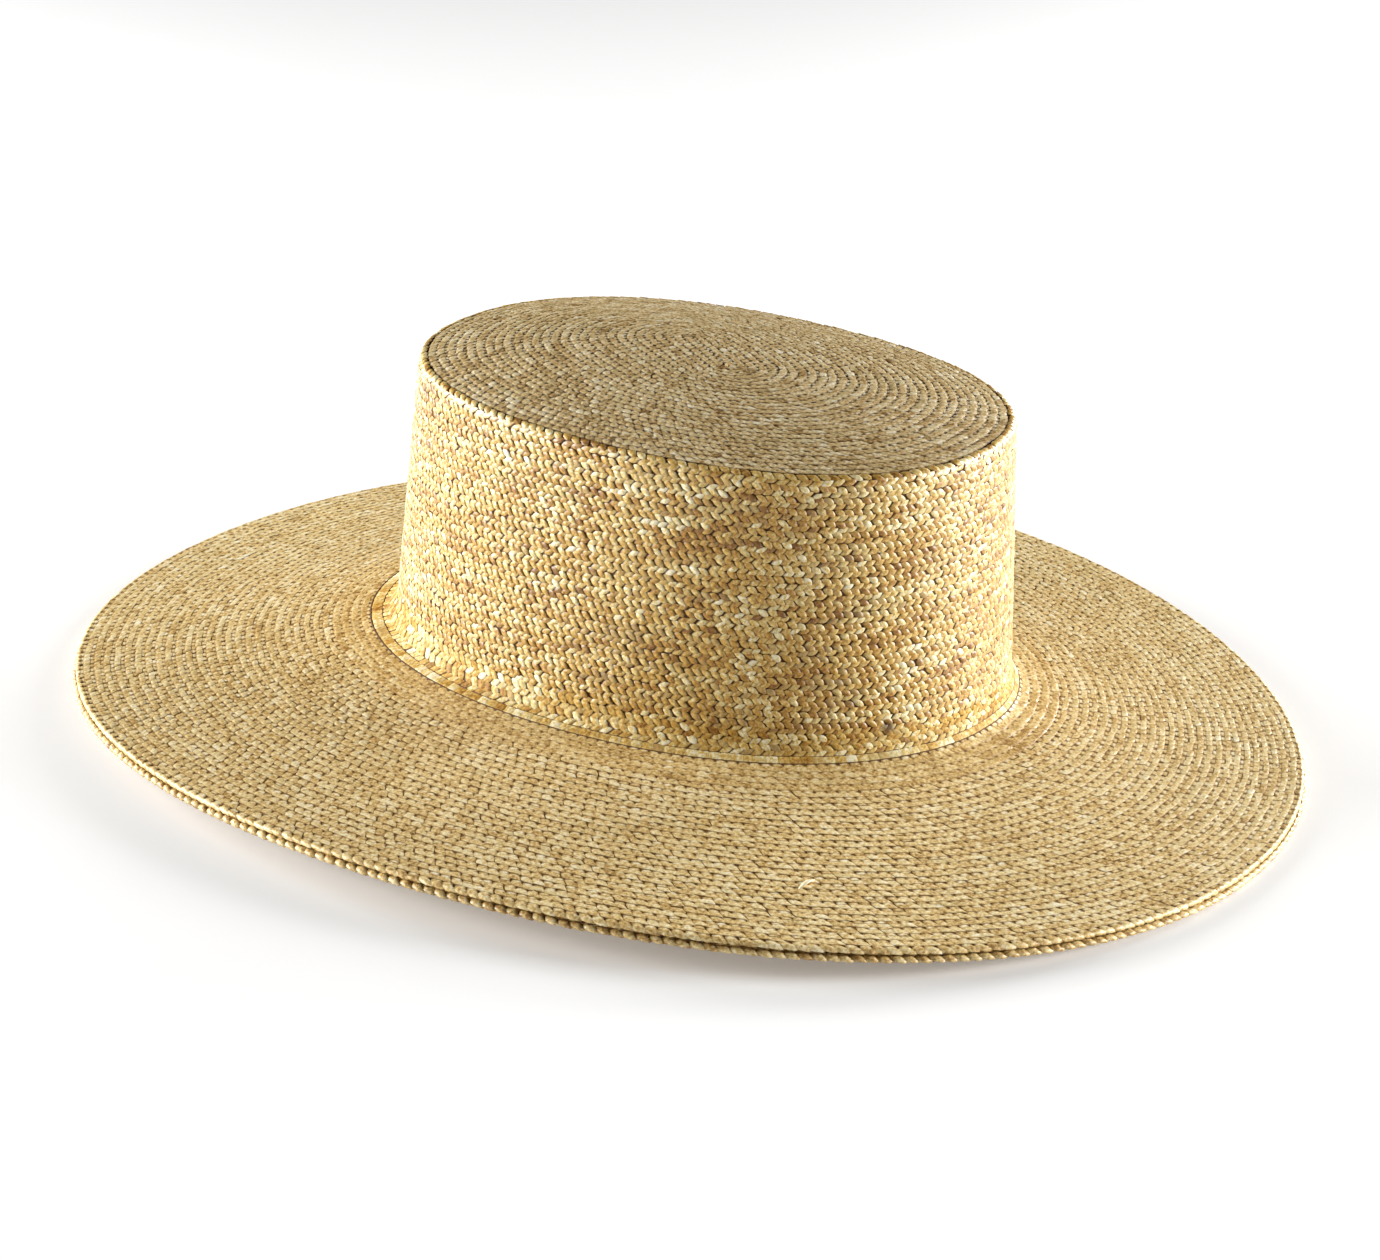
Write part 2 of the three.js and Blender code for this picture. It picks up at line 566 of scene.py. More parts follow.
@dataclass
class Cover:
    """Many leaves and walls joined into one mesh."""

    name: str
    points: list[Array] = field(default_factory=list)
    faces: list[Array] = field(default_factory=list)
    maps: list[Array] = field(default_factory=list)
    looks: list[Array] = field(default_factory=list)
    slots: list[Array] = field(default_factory=list)
    count: int = 0

    def add(self, points: Array, faces: Array, flat: Array, looks: Array, slot: int) -> None:
        """Joins more faces.

        Args:
            points: Points, in millimetres.
            faces: Four point numbers a face.
            flat: The map's place of each point.
            looks: Paleness, greyness and rise of each point.
            slot: Number of their material.
        """
        self.points.append(points)
        self.faces.append(faces + self.count)
        self.maps.append(flat)
        self.looks.append(looks)
        self.slots.append(np.full(len(faces), slot))
        self.count += len(points)

    def build(self, finishes: list[bpy.types.Material]) -> bpy.types.Object:
        """Makes the mesh and its object, in metres.

        Args:
            finishes: The materials, in the order of their numbers.

        Returns:
            The new object, at the origin.
        """
        points = np.concatenate(self.points) * MM
        points[:, 2] = np.maximum(points[:, 2], 0.0)
        faces = np.concatenate(self.faces)
        mesh = bpy.data.meshes.new(self.name)
        mesh.vertices.add(len(points))
        mesh.vertices.foreach_set("co", points.astype(np.float32).ravel())
        mesh.loops.add(faces.size)
        mesh.loops.foreach_set("vertex_index", faces.astype(np.int32).ravel())
        mesh.polygons.add(len(faces))
        starts = np.arange(0, faces.size, CORNERS, dtype=np.int32)
        mesh.polygons.foreach_set("loop_start", starts)
        slots = np.concatenate(self.slots).astype(np.int32)
        mesh.polygons.foreach_set("material_index", slots)
        mesh.update(calc_edges=True)
        mesh.shade_smooth()
        flat = np.concatenate(self.maps)[faces.ravel()]
        mesh.uv_layers.new(name="straw").data.foreach_set("uv", flat.astype(np.float32).ravel())
        look = mesh.attributes.new("straw_look", "FLOAT_VECTOR", "POINT")
        look.data.foreach_set("vector", np.concatenate(self.looks).astype(np.float32).ravel())
        for finish in finishes:
            mesh.materials.append(finish)
        made = bpy.data.objects.new(self.name, mesh)
        bpy.context.scene.collection.objects.link(made)
        return made


@dataclass(frozen=True)
class Band:
    """Equal rows of plait, sewn side by side on one face."""

    start: float
    end: float
    rows: int
    facet: float

    fewest_facets = 8
    straw_step = 3

    @property
    def width(self) -> float:
        """Width of one row, in millimetres."""
        return (self.end - self.start) / self.rows

    def lay(
        self,
        skin: Skin,
        plait: Plait,
        cover: Cover,
        straws: Straws,
        slot: int = STRAW_SLOT,
    ) -> None:
        """Lays the rows' leaves on a face.

        Args:
            skin: The face that they lie on.
            plait: The kind of plait.
            cover: The mesh that takes them.
            straws: Where their colours come from.
            slot: Number of their material.
        """
        for row in range(self.rows):
            top = self.start + row * self.width
            self._lay_row(top, skin, plait, cover, straws, slot)

    def _lay_row(
        self,
        top: float,
        skin: Skin,
        plait: Plait,
        cover: Cover,
        straws: Straws,
        slot: int,
    ) -> None:
        """Lays the leaves of one row, every kind of leaf in turn.

        Args:
            top: Place of the row's upper edge across the rows, in millimetres.
            skin: The face that the row lies on.
            plait: The kind of plait.
            cover: The mesh that takes it.
            straws: Where its colours come from.
            slot: Number of its material.
        """
        track = Track(skin, top + self.width / 2)
        count = max(round(track.length / self.facet), self.fewest_facets)
        step = track.length / count
        phase = straws.draw.uniform()
        tones = straws.tones(count)
        number = np.arange(count)[:, None] + phase
        rough = plait.uneven
        for turn, leaf in enumerate(plait.leaves):
            patch = leaf.patch()
            faces = patch.faces if skin.facing > 0 else patch.faces[:, ::-1]
            shift = straws.uneven(count, plait.shift * rough)[:, None]
            swing = straws.uneven(count, plait.swing * rough)[:, None]
            turned = swing * (patch.map[:, 1] - 0.5)
            along = (number + patch.along + shift + turned) * step
            slip = straws.uneven(count, plait.slip * rough)[:, None]
            across = top + (patch.across + slip) * self.width
            crest = leaf.crest + straws.uneven(count, plait.lift * rough)[:, None]
            height = -leaf.root + (crest + leaf.root) * patch.rise
            points = skin.at(track.angle(along), across, height)
            size = len(patch.rise)
            look = np.empty((count, size, 3))
            look[..., :2] = np.roll(tones, self.straw_step * turn, axis=0)[:, None]
            look[..., 0] += leaf.paler
            # The rise also places the material's painted crest highlight and painted gap shade.
            look[..., 2] = patch.rise
            every = faces + (np.arange(count) * size)[:, None, None]
            cover.add(
                points.reshape(-1, 3),
                every.reshape(-1, CORNERS),
                np.tile(patch.map, (count, 1)),
                look.reshape(-1, 3),
                slot,
            )


def taken(made: bmesh.types.BMesh) -> tuple[Array, Array]:
    """Turns a closed mesh's faces outwards, reads it into arrays and frees it.

    Args:
        made: The mesh, whose faces all have four corners.

    Returns:
        Its points, and the point numbers of each face.
    """
    bmesh.ops.recalc_face_normals(made, faces=made.faces[:])
    made.verts.index_update()
    points = np.array([v.co[:] for v in made.verts])
    faces = np.array([[v.index for v in f.verts] for f in made.faces])
    made.free()
    return points, faces


@dataclass(frozen=True)
class InnerLayer:
    """The layer of straw inside a wall, coloured all in the painted gap shade, that shows as dark
    gaps between the folds.
    """

    outer_depth: float = 0.5
    thickness: float = 1.0
    around: int = 160
    tone: float = 0.3
    grey: float = 0.3
    map_size: float = 3.0

    def add_ring(
        self, skin: Skin, start: float, end: float, stations: int, cover: Cover
    ) -> None:
        """Adds a closed ring of this layer.

        Args:
            skin: The outer face of the wall.
            start: First place across the rows, in millimetres.
            end: Last place across the rows, in millimetres.
            stations: How many steps there are between the two.
            cover: The mesh that takes it.
        """
        grid = bmesh.new()
        loop = 2 * stations + 2
        bmesh.ops.create_grid(grid, x_segments=self.around, y_segments=loop, size=0.5)
        flat = np.array([v.co[:] for v in grid.verts])
        angle = (flat[:, 0] + 0.5) * FULL_TURN
        place = np.rint((0.5 - flat[:, 1]) * loop).astype(int) % loop
        outer = place <= stations
        share = np.where(outer, place, 2 * stations + 1 - place) / stations
        depth = np.where(outer, -self.outer_depth, -self.outer_depth - self.thickness)
        points = skin.at(angle, start + (end - start) * share, depth)
        for vertex, point in zip(grid.verts, points):
            vertex.co = point
        bmesh.ops.remove_doubles(grid, verts=grid.verts, dist=MERGE_DISTANCE)
        made, faces = taken(grid)
        # Rise 0 colours the whole layer in the finish's painted gap shade.
        looks = np.tile([self.tone, self.grey, 0.0], (len(made), 1))
        cover.add(made, faces, made[:, :2] / self.map_size, looks, LAYER_SLOT)


@dataclass(frozen=True)
class LooseEnd:
    """The end of one straw that has sprung out of its row, in millimetres."""

    start: tuple[float, float, float] = (-117.6, -112.1, 13.4)
    end: tuple[float, float, float] = (-110.9, -113.2, 14.1)
    width: float = 1.5
    lift: float = 0.8
    thickness: float = 0.12
    narrow: float = 0.35
    blunt: float = 0.1
    steps_along: int = 10
    steps_across: int = 2
    tone: float = 0.95
    grey: float = 0.3
    map_place: float = 0.5

    def add(self, cover: Cover) -> None:
        """Adds the straw's end to a cover.

        Args:
            cover: The mesh that takes it.
        """
        strip = bmesh.new()
        bmesh.ops.create_grid(
            strip, x_segments=self.steps_along, y_segments=self.steps_across, size=0.5
        )
        flat = np.array([v.co[:] for v in strip.verts])
        share = flat[:, 0] + 0.5
        first, last = np.array(self.start), np.array(self.end)
        side = unit(np.cross(last - first, (0.0, 0.0, 1.0)))
        swell = np.sin(math.pi * np.clip(share, self.blunt, 1 - self.blunt))
        taper = self.width * (self.narrow + (1 - self.narrow) * swell)
        points = first + (last - first) * share[:, None]
        points += side * (flat[:, 1] * taper)[:, None]
        points[:, 2] += self.lift * np.sin(math.pi * share)
        for vertex, point in zip(strip.verts, points):
            vertex.co = point
        bmesh.ops.solidify(strip, geom=strip.faces[:], thickness=self.thickness)
        made, faces = taken(strip)
        # Rise 1 gives the loose end the finish's painted crest highlight.
        looks = np.tile([self.tone, self.grey, 1.0], (len(made), 1))
        # A map place in the middle keeps the painted edge shade off it.
        flat = np.full((len(made), 2), self.map_place)
        cover.add(made, faces, flat, looks, STRAW_SLOT)


# Finishes


@dataclass(frozen=True)
class Mark:
    """A small dark stain, as a ball that colours what is inside it, in millimetres.

    Core is the share of its radius that has the full strength.
    """

    centre: tuple[float, float, float]
    radius: float
    core: float = 0.4
    strength: float = 0.85
    colour: tuple[float, float, float] = (0.09, 0.045, 0.02)


@dataclass(frozen=True)
class Grain:
    """A noise in the straw: what it follows, how it is stretched, its scale and detail."""

    follows: str
    stretch: tuple[float, float, float]
    scale: float
    detail: float


PATCHES = Grain("Object", (1.0, 1.0, 1.0), 70.0, 2.0)
SPECKS = Grain("Object", (1.0, 1.0, 1.0), 1000.0, 2.0)
FIBRES = Grain("UV", (1.6, 0.22, 1.0), 9.0, 3.0)


@dataclass(frozen=True)
class StrawFinish:
    """Glossy natural straw: pale and golden folds with fine fibres along them, a painted
    highlight on their crests, and painted shade in their low places and along their rows' outer
    edges.
    """

    name: str
    tints: tuple[tuple[float, tuple[float, float, float]], ...]
    grey: tuple[float, float, float] = (0.56, 0.50, 0.26)
    # Gap is the colour of painted shade, laid on low rises and along the rows' outer edges.
    gap: tuple[float, float, float] = (0.19, 0.10, 0.03)
    # Pale is the colour of a painted highlight, laid on the crests.
    pale: tuple[float, float, float] = (0.86, 0.76, 0.50)
    crest_highlight_share: float = 0.35
    grey_share: float = 0.35
    roughness: float = 0.42
    gloss: float = 0.25
    shine: float = 0.4
    bump: float = 0.25
    bump_depth: float = 0.15
    patch: float = 0.3
    fibre: float = 0.4
    speck: float = 1.3
    grey_from: tuple[float, float] = (0.55, 0.85)
    crest_highlight_from: float = 0.9
    # Painted shade: below this rise, and along this width of each row's outer edge at the
    # strength after it.
    painted_shade_rise: float = 0.55
    edge_width: float = 0.2
    painted_edge_shade: float = 0.0
    rough_spread: float = 0.3
    gloss_roughness: float = 0.28
    refraction: float = 1.5
    marks: tuple[Mark, ...] = ()

    def material(self) -> bpy.types.Material:
        """Builds the node material.

        Returns:
            The material of these straws.
        """
        made = bpy.data.materials.new(self.name)
        made.use_nodes = True
        nodes = NodeKit(made.node_tree)
        shader = nodes.tree.nodes["Principled BSDF"]
        place = nodes.new("ShaderNodeTexCoord")
        fibres = nodes.noise(place, FIBRES)
        nodes.link(self._colour(nodes, place, fibres), shader.inputs["Base Color"])

        rough = nodes.varied(fibres, self.rough_spread, self.roughness)
        nodes.link(rough, shader.inputs["Roughness"])
        shader.inputs["Coat Weight"].default_value = self.gloss
        shader.inputs["Coat Roughness"].default_value = self.gloss_roughness
        shader.inputs["IOR"].default_value = self.refraction
        shader.inputs["Specular IOR Level"].default_value = self.shine

        bump = nodes.new("ShaderNodeBump")
        bump.inputs["Strength"].default_value = self.bump
        bump.inputs["Distance"].default_value = self.bump_depth * MM
        nodes.link(fibres, bump.inputs["Height"])
        nodes.join(bump, "Normal", shader, "Normal")
        return made

    def _colour(
        self, nodes: "NodeKit", place: bpy.types.Node, fibres: bpy.types.NodeSocket
    ) -> bpy.types.NodeSocket:
        """Builds the colour: tinted straw, a painted highlight on the crests, painted shade in
        the gaps and along the rows' outer edges, and stains.

        Args:
            nodes: The material's nodes.
            place: Its texture coordinates.
            fibres: The fibres' noise.

        Returns:
            The colour's socket.
        """
        look = nodes.new("ShaderNodeAttribute", attribute_name="straw_look")
        parts = nodes.new("ShaderNodeSeparateXYZ")
        nodes.join(look, "Vector", parts, "Vector")
        paleness, greyness, rise = (nodes.out(parts, axis) for axis in "XYZ")
        spread = nodes.new("ShaderNodeSeparateXYZ")
        nodes.join(place, "UV", spread, "Vector")

        patches = nodes.varied(nodes.noise(place, PATCHES), self.patch)
        blend = nodes.sum(patches, nodes.varied(fibres, self.fibre))
        blend = nodes.sum(blend, nodes.varied(nodes.noise(place, SPECKS), self.speck))
        ramp = nodes.new("ShaderNodeValToRGB")
        self._fill(ramp)
        nodes.link(nodes.sum(paleness, blend), ramp.inputs["Fac"])

        greyness = nodes.range(greyness, *self.grey_from, 0.0, self.grey_share)
        greyed = nodes.mix(greyness, nodes.out(ramp, "Color"), self.grey)
        # Painted highlight: crests are mixed towards the pale colour by their rise.
        crest = nodes.range(rise, self.crest_highlight_from, 1.0, 0.0, self.crest_highlight_share)
        raised = nodes.mix(crest, greyed, self.pale)
        # Painted shade: low rises and the rows' outer edges are mixed towards the gap colour.
        shade = nodes.range(rise, 0.0, self.painted_shade_rise, 1.0, 0.0)
        edge = nodes.range(nodes.out(spread, "Y"), 0.0, self.edge_width, self.painted_edge_shade, 0.0)
        colour = nodes.mix(nodes.greatest(shade, edge), raised, self.gap)
        for mark in self.marks:
            colour = nodes.mix(nodes.near(place, mark), colour, mark.colour)
        return colour

    def _fill(self, ramp: bpy.types.Node) -> None:
        """Gives the ramp this finish's tints.

        Args:
            ramp: The colour ramp.
        """
        stops = ramp.color_ramp.elements
        while len(stops) < len(self.tints):
            stops.new(0.5)
        for stop, (place, tint) in zip(stops, self.tints):
            stop.position = place
            stop.color = (*tint, 1.0)


class NodeKit:
    """Short ways to add and link shader nodes."""

    mix_first = 6
    mix_second = 7
    mix_result = 2

    def __init__(self, tree: bpy.types.NodeTree) -> None:
        """Works on one node tree."""
        self.tree = tree

    def new(self, kind: str, **settings: object) -> bpy.types.Node:
        """Adds a node.

        Args:
            kind: Its type's name.
            settings: Values of its own properties, by name.

        Returns:
            The new node.
        """
        node = self.tree.nodes.new(kind)
        for name, value in settings.items():
            setattr(node, name, value)
        return node

    def link(self, source: bpy.types.NodeSocket, goal: bpy.types.NodeSocket) -> None:
        """Links two sockets."""
        self.tree.links.new(source, goal)

    def join(self, first: bpy.types.Node, out: str, second: bpy.types.Node, into: str) -> None:
        """Links two nodes by the names of their sockets."""
        self.link(first.outputs[out], second.inputs[into])

    def out(self, node: bpy.types.Node, name: str) -> bpy.types.NodeSocket:
        """A node's output by name."""
        return node.outputs[name]

    def noise(self, place: bpy.types.Node, grain: Grain) -> bpy.types.NodeSocket:
        """Adds a noise.

        Args:
            place: The texture coordinate node.
            grain: The kind of noise.

        Returns:
            The noise's value, about 0.5 on average.
        """
        mapping = self.new("ShaderNodeMapping")
        mapping.inputs["Scale"].default_value = grain.stretch
        self.join(place, grain.follows, mapping, "Vector")
        noise = self.new("ShaderNodeTexNoise")
        noise.inputs["Scale"].default_value = grain.scale
        noise.inputs["Detail"].default_value = grain.detail
        self.join(mapping, "Vector", noise, "Vector")
        return noise.outputs["Fac"]

    def _pair(
        self, operation: str, first: bpy.types.NodeSocket, second: bpy.types.NodeSocket
    ) -> bpy.types.NodeSocket:
        """Works out one value from two.

        Args:
            operation: Name of the sum's kind.
            first: The first value.
            second: The second value.

        Returns:
            The result's socket.
        """
        node = self.new("ShaderNodeMath", operation=operation)
        self.link(first, node.inputs[0])
        self.link(second, node.inputs[1])
        return node.outputs[0]

    def sum(
        self, first: bpy.types.NodeSocket, second: bpy.types.NodeSocket
    ) -> bpy.types.NodeSocket:
        """Adds two values."""
        return self._pair("ADD", first, second)

    def greatest(
        self, first: bpy.types.NodeSocket, second: bpy.types.NodeSocket
    ) -> bpy.types.NodeSocket:
        """The greater of two values."""
        return self._pair("MAXIMUM", first, second)

    def varied(
        self, noise: bpy.types.NodeSocket, spread: float, middle: float = 0.0
    ) -> bpy.types.NodeSocket:
        """Spreads a noise evenly about a middle value.

        Args:
            noise: The noise, from 0 to 1.
            spread: Width of the new range.
            middle: Its middle.

        Returns:
            The result's socket.
        """
        node = self.new("ShaderNodeMath", operation="MULTIPLY_ADD")
        self.link(noise, node.inputs[0])
        node.inputs[1].default_value = spread
        node.inputs[2].default_value = middle - spread / 2
        return node.outputs[0]

    def range(
        self, value: bpy.types.NodeSocket, low: float, high: float, first: float, last: float
    ) -> bpy.types.NodeSocket:
        """Moves a value from one range to another.

        Args:
            value: The value.
            low: Start of its range.
            high: End of its range.
            first: What it becomes at the start.
            last: What it becomes at the end.

        Returns:
            The result's socket.
        """
        node = self.new("ShaderNodeMapRange")
        self.link(value, node.inputs["Value"])
        for name, number in (
            ("From Min", low),
            ("From Max", high),
            ("To Min", first),
            ("To Max", last),
        ):
            node.inputs[name].default_value = number
        return node.outputs["Result"]

    def mix(
        self,
        share: bpy.types.NodeSocket,
        first: bpy.types.NodeSocket,
        second: tuple[float, float, float],
    ) -> bpy.types.NodeSocket:
        """Mixes a colour with a fixed one.

        Args:
            share: Share of the fixed colour.
            first: The colour's socket.
            second: The fixed colour.

        Returns:
            The mixed colour's socket.
        """
        node = self.new("ShaderNodeMix", data_type="RGBA")
        self.link(share, node.inputs["Factor"])
        self.link(first, node.inputs[self.mix_first])
        node.inputs[self.mix_second].default_value = (*second, 1.0)
        return node.outputs[self.mix_result]

    def near(self, place: bpy.types.Node, mark: Mark) -> bpy.types.NodeSocket:
        """Finds how strongly a stain colours each place.

        Args:
            place: The texture coordinate node.
            mark: The stain.

        Returns:
            A value that falls from the stain's core to 0 at its radius.
        """
        away = self.new("ShaderNodeVectorMath", operation="DISTANCE")
        self.join(place, "Object", away, "Vector")
        away.inputs[1].default_value = [c * MM for c in mark.centre]
        end = mark.radius * MM
        distance = self.out(away, "Value")
        return self.range(distance, mark.core * end, end, mark.strength, 0.0)


# Tints of the wall, brim and tip. Besides the straw's own colour, their brightness is partly
# painted light: each set is made lighter or darker to match how the light falls on its part of
# the hat.
GOLDEN_TINTS = (
    (0.0, (0.20, 0.085, 0.014)),
    (0.22, (0.36, 0.172, 0.030)),
    (0.42, (0.49, 0.277, 0.054)),
    (0.60, (0.61, 0.40, 0.105)),
    (0.80, (0.76, 0.61, 0.28)),
    (1.0, (0.90, 0.83, 0.60)),
)
BRIM_TINTS = (
    (0.0, (0.32, 0.17, 0.045)),
    (0.22, (0.53, 0.34, 0.11)),
    (0.42, (0.70, 0.50, 0.20)),
    (0.60, (0.80, 0.62, 0.30)),
    (0.80, (0.88, 0.76, 0.46)),
    (1.0, (0.94, 0.88, 0.66)),
)
TIP_TINTS = (
    (0.0, (0.22, 0.115, 0.03)),
    (0.22, (0.45, 0.28, 0.098)),
    (0.42, (0.61, 0.425, 0.178)),
    (0.60, (0.72, 0.53, 0.255)),
    (0.80, (0.83, 0.68, 0.41)),
    (1.0, (0.93, 0.85, 0.63)),
)
DARK_KNOT = Mark((-38.0, -95.7, 30.8), 3.0)
DARK_SPOT = Mark((65.0, -182.6, 5.1), 1.1)


class Finish(Enum):
    """The finishes of the hat; each one's gap colour is painted shade, and its pale colour a
    painted highlight.
    """

    WALL = StrawFinish(
        "straw_wall", GOLDEN_TINTS, gap=(0.13, 0.058, 0.014), gloss=0.5, marks=(DARK_KNOT,)
    )
    FOOT = StrawFinish(
        "straw_foot",
        GOLDEN_TINTS,
        gap=(0.13, 0.058, 0.014),
        crest_highlight_share=0.1,
        roughness=0.6,
        gloss=0.0,
        shine=0.2,
        marks=(DARK_KNOT,),
    )
    TIP = StrawFinish(
        "straw_tip",
        TIP_TINTS,
        gap=(0.085, 0.042, 0.013),
        speck=2.0,
        painted_edge_shade=0.8,
        crest_highlight_share=0.2,
        roughness=0.5,
        gloss=0.1,
    )
    BRIM = StrawFinish(
        "straw_brim",
        BRIM_TINTS,
        gap=(0.34, 0.185, 0.055),
        crest_highlight_share=0.1,
        speck=1.8,
        painted_edge_shade=0.9,
        marks=(DARK_SPOT,),
    )
    # Painted shade: the layer finishes show only their gap colour.
    BRIM_LAYER = StrawFinish(
        "straw_brim_layer", BRIM_TINTS, gap=(0.27, 0.15, 0.045), gloss=0.0, roughness=0.7
    )
    INSIDE = StrawFinish("straw_inside", GOLDEN_TINTS, gloss=0.1, roughness=0.5)
    LAYER = StrawFinish(
        "straw_layer", GOLDEN_TINTS, gap=(0.12, 0.056, 0.018), gloss=0.0, roughness=0.7
    )


# Kinds of leaf, by where they lie in a row


def falling(crest: float, **changes: object) -> Leaf:
    """The plump fold that leans down along the row and stands proud at its far side.

    Args:
        crest: Height of its crest over the face, in millimetres.
        changes: Other sizes than these, by name.

    Returns:
        The leaf.
    """
    sizes = dict(
        centre=0.02,
        lean=0.42,
        length=1.03,
        top=-0.06,
        bottom=0.72,
        crest=crest,
        root=0.7,
        columns=(0.0, 0.1, 0.5, 0.86, 1.0),
        column_rise=(0.25, 0.68, 0.84, 1.0, 0.0),
        rows=(0.0, 0.2, 0.68, 1.0),
        row_rise=(0.45, 0.92, 1.0, 0.4),
        row_length=(0.8, 1.0, 0.98, 0.72),
        arch=0.1,
    )
    sizes.update(changes)
    return Leaf(**sizes)


def rising(crest: float, **changes: object) -> Leaf:
    """The small fold that leans back along the row, down to the row's outer edge.

    Args:
        crest: Height of its crest over the face, in millimetres.
        changes: Other sizes than these, by name.

    Returns:
        The leaf.
    """
    sizes = dict(
        centre=0.34,
        lean=-0.46,
        length=1.0,
        top=0.58,
        bottom=1.08,
        crest=crest,
        root=0.7,
        paler=0.06,
        columns=(0.0, 0.3, 0.82, 1.0),
        column_rise=(0.2, 0.8, 1.0, 0.1),
        rows=(0.0, 0.4, 0.8, 1.0),
        row_rise=(0.6, 0.9, 1.0, 0.35),
        row_length=(0.88, 1.0, 0.98, 0.8),
        arch=0.05,
    )
    sizes.update(changes)
    return Leaf(**sizes)


def bead(crest: float, **changes: object) -> Leaf:
    """The small top of a fold, just past the edge of the row before.

    Args:
        crest: Height of its crest over the face, in millimetres.
        changes: Other sizes than these, by name.

    Returns:
        The leaf.
    """
    sizes = dict(
        centre=0.1,
        lean=0.15,
        length=0.96,
        top=-0.06,
        bottom=0.36,
        crest=crest,
        root=0.6,
        # Paler tops are a painted highlight on the small folds; each plait sets its own amount.
        paler=0.2,
        columns=(0.0, 0.55, 1.0),
        column_rise=(0.1, 1.0, 0.0),
        rows=(0.0, 0.5, 1.0),
        row_rise=(0.5, 1.0, 0.55),
        row_length=(0.7, 0.94, 0.95),
    )
    sizes.update(changes)
    return Leaf(**sizes)


def strand(crest: float, **changes: object) -> Leaf:
    """The broad fold of a flat row, with a thin raised outer edge over the next row.

    Args:
        crest: Height of its crest over the face, in millimetres.
        changes: Other sizes than these, by name.

    Returns:
        The leaf.
    """
    sizes = dict(
        centre=0.36,
        lean=0.42,
        length=1.2,
        top=0.22,
        bottom=1.08,
        crest=crest,
        root=0.6,
        columns=(0.0, 0.14, 0.86, 1.0),
        column_rise=(0.4, 0.92, 1.0, 0.0),
        rows=(0.0, 0.22, 0.6, 0.88, 1.0),
        row_rise=(0.6, 0.88, 0.93, 1.0, 0.1),
        row_length=(0.92, 1.0, 1.0, 0.98, 0.84),
        slots=(1.0, 1.0, 0.9, 0.7, 0.9),
        arch=0.07,
        slant=0.08,
    )
    sizes.update(changes)
    return Leaf(**sizes)


PLAIN_GRID = dict(
    columns=(0.0, 0.6, 1.0),
    column_rise=(0.15, 1.0, 0.1),
    rows=(0.0, 0.55, 1.0),
    row_rise=(0.3, 1.0, 0.15),
    row_length=(0.8, 1.0, 0.85),
)

WALL_PLAIT = Plait(
    (rising(0.02, root=0.34, top=0.5), falling(0.13, root=0.34, bottom=0.66)), 1.3
)
FOOT_PLAIT = Plait(
    (
        rising(0.0, root=0.24, top=0.5, paler=0.06),
        falling(0.03, root=0.24, bottom=0.66, paler=0.06),
    ),
    1.0,
)
FLAT_PLAIT = Plait(
    (
        bead(0.0, root=0.12, paler=0.08, bottom=0.44, row_rise=(0.2, 1.0, 0.6)),
        strand(
            0.03,
            root=0.12,
            length=1.1,
            lean=0.34,
            top=0.34,
            columns=(0.0, 0.15, 0.88, 1.0),
            column_rise=(0.4, 0.95, 1.0, 0.1),
            row_rise=(0.65, 0.9, 0.96, 1.0, 0.75),
            slots=(1.0, 1.0, 0.8, 0.7, 1.0),
        ),
    ),
    1.2,
)
TIP_PLAIT = Plait(
    (
        bead(0.02, root=0.26, paler=0.1),
        strand(
            0.06,
            root=0.2,
            columns=(0.0, 0.24, 0.8, 1.0),
            column_rise=(0.0, 0.9, 1.0, 0.0),
            rows=(0.0, 0.22, 0.6, 0.86, 1.0),
            row_rise=(0.6, 0.88, 0.93, 1.0, 0.0),
            row_length=(0.9, 1.0, 1.0, 0.94, 0.78),
            slots=(1.0, 1.0, 0.7, 0.8, 1.0),
        ),
    ),
    1.1,
)
SMOOTH_PLAIT = Plait(
    (
        bead(0.0, root=0.13, paler=0.0),
        strand(0.04, root=0.13, paler=-0.14, column_rise=(0.55, 0.94, 1.0, 0.35)),
    ),
    0.8,
)
SEAM_PLAIT = Plait(
    (
        strand(
            0.08, root=0.2, top=-0.05, lean=0.1, paler=0.1, column_rise=(0.4, 0.9, 1.0, 0.2)
        ),
    ),
    0.5,
)
ROPE_GRID = dict(
    columns=(0.0, 0.16, 0.4, 0.78, 1.0),
    column_rise=(0.2, 0.65, 0.9, 1.0, 0.15),
    rows=(0.0, 0.2, 0.5, 0.8, 1.0),
    slots=(1.0, 1.0, 0.9, 1.0, 1.0),
    row_length=(0.7, 0.98, 1.05, 0.98, 0.7),
    arch=0.1,
)
EDGE_PLAIT = Plait(
    (
        bead(0.04, root=0.2, paler=0.05),
        strand(
            0.16,
            root=0.25,
            lean=0.5,
            paler=-0.08,
            row_rise=(0.5, 0.9, 1.0, 0.8, 0.1),
            **ROPE_GRID,
        ),
    ),
    0.8,
)
TEETH_PLAIT = Plait(
    (
        strand(
            0.3,
            lean=0.5,
            paler=-0.15,
            top=-0.06,
            bottom=1.04,
            row_rise=(0.4, 0.85, 1.0, 0.85, 0.3),
            **ROPE_GRID,
        ),
    ),
    0.8,
)
BACK_PLAIT = Plait((falling(0.25, **PLAIN_GRID), rising(0.15, **PLAIN_GRID)))
SOLE_PLAIT = Plait(
    (falling(-0.05, root=0.6, **PLAIN_GRID), rising(-0.05, root=0.6, **PLAIN_GRID)), 0.0
)


